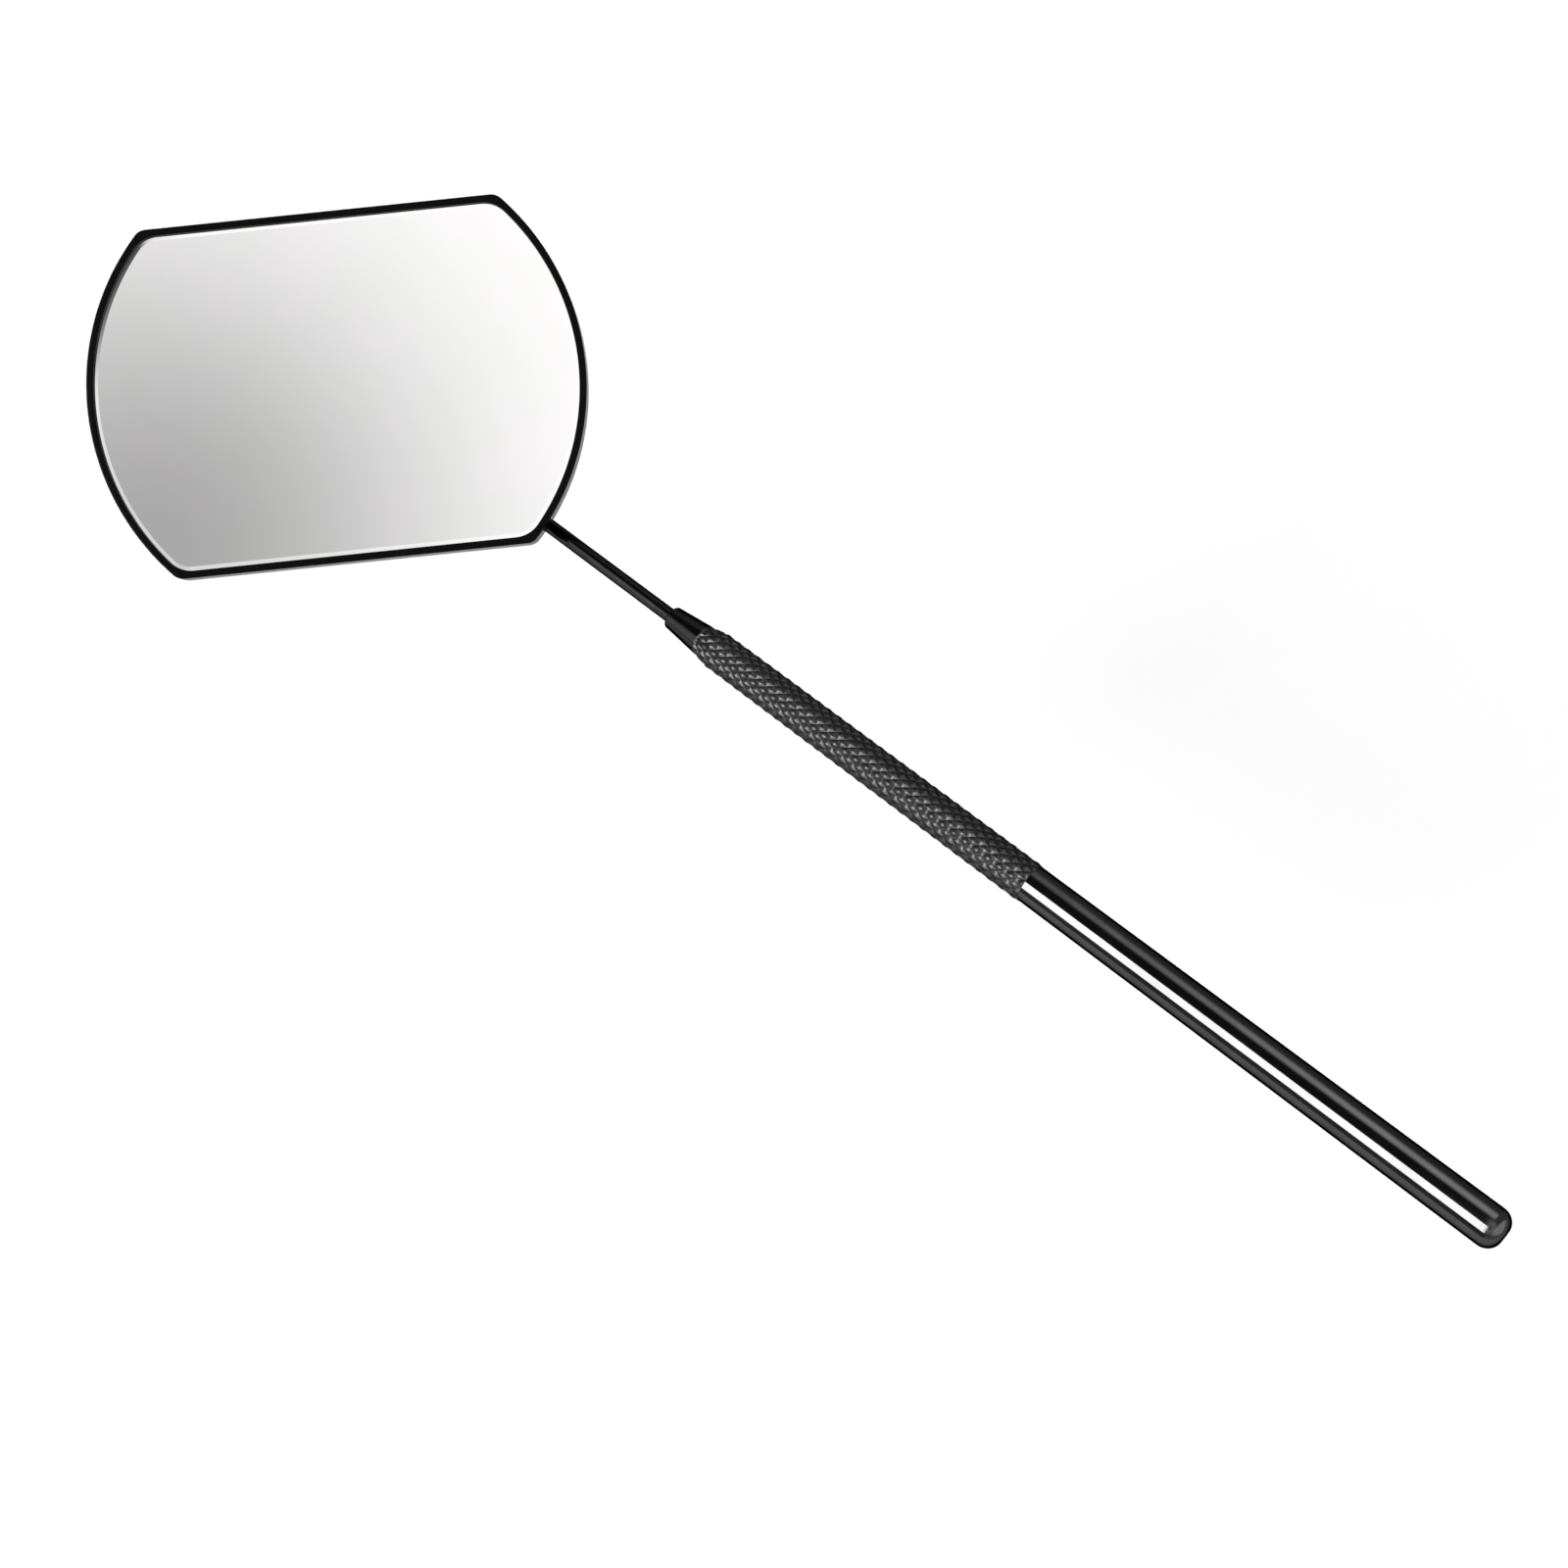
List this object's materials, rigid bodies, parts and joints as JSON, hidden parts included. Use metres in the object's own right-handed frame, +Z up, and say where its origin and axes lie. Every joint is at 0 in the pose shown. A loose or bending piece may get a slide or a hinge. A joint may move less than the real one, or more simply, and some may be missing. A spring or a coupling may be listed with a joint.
{
  "type": "telescoping inspection mirror",
  "caption": "Telescoping inspection mirror: a rectangular mirror with rounded ends on a double ball joint, a thin rod and a slim knurled handle.",
  "frame": {"origin": "on the handle's axis, where the knurled grip ends and the smooth barrel starts", "axes": "+X along the handle towards its rear end, +Z up as the closed tool lies on a bench with its glass facing up and to one side"},
  "size_m": [0.2566, 0.0754, 0.0425],
  "materials": {
    "knurled_steel": "black-nickel plated steel with a diamond knurl",
    "polished_steel": "dark polished plated steel",
    "rod_steel": "dark polished plated steel rod",
    "bush_brass": "turned brass",
    "spring_steel": "blued spring steel",
    "ball_steel": "polished bearing-grade steel",
    "link_steel": "pressed steel, satin plated",
    "screw_steel": "zinc plated steel",
    "back_paint": "satin black enamel on sheet steel",
    "rim_paint": "gloss black enamel on rolled sheet steel",
    "pad_board": "thin resilient backing sheet",
    "mirror_glass": "bevelled silvered glass"
  },
  "bodies": {
    "handle": {"knurled_grip": "knurled_steel", "barrel_tube": "polished_steel", "end_cap": "polished_steel", "nose_bush": "bush_brass"},
    "middle_section": {"middle_tube": "polished_steel", "middle_end_collar": "bush_brass", "middle_friction_spring": "spring_steel"},
    "rod_slider": {"rod_friction_spring": "spring_steel"},
    "rod": {"tip_rod": "rod_steel", "rod_end_ball": "ball_steel", "rod_tail_collar": "rod_steel"},
    "clamp_link": {"clamp_plate_upper": "link_steel", "clamp_plate_lower": "link_steel", "spring_washer": "spring_steel", "tension_screw": "screw_steel", "tension_nut": "screw_steel"},
    "mirror_stud": {"ball_stud": "ball_steel"},
    "mirror_head": {"stud_bracket": "link_steel", "bracket_rivets": "screw_steel", "back_plate": "back_paint", "backing_pad": "pad_board", "mirror_glass": "mirror_glass", "bezel_frame": "rim_paint"}
  },
  "joints": [
    {"name": "middle_slide", "type": "slide", "parent": "handle", "child": "middle_section", "axis": [-1, 0, 0], "range_m": [0, 0.108]},
    {"name": "rod_slide", "type": "slide", "parent": "middle_section", "child": "rod_slider", "axis": [-1, 0, 0], "range_m": [0, 0.108]},
    {"name": "rod_spin", "type": "hinge", "parent": "rod_slider", "child": "rod", "pos_m": [0.045, 0, 0], "axis": [1, 0, 0], "continuous": true},
    {"name": "rod_ball_tilt", "type": "hinge", "parent": "rod", "child": "clamp_link", "pos_m": [-0.1339, 0, 0], "axis": [0.0877, -0.7833, -0.6155], "range_deg": [0, 110]},
    {"name": "stud_ball_tilt", "type": "hinge", "parent": "clamp_link", "child": "mirror_stud", "pos_m": [-0.14309, -0.01021, 0.01169], "axis": [0.0877, -0.7833, -0.6155], "range_deg": [0, 110]},
    {"name": "mirror_swivel", "type": "hinge", "parent": "mirror_stud", "child": "mirror_head", "pos_m": [-0.14309, -0.01021, 0.01169], "axis": [0.4446, -0.4479, 0.7757], "continuous": true}
  ]
}
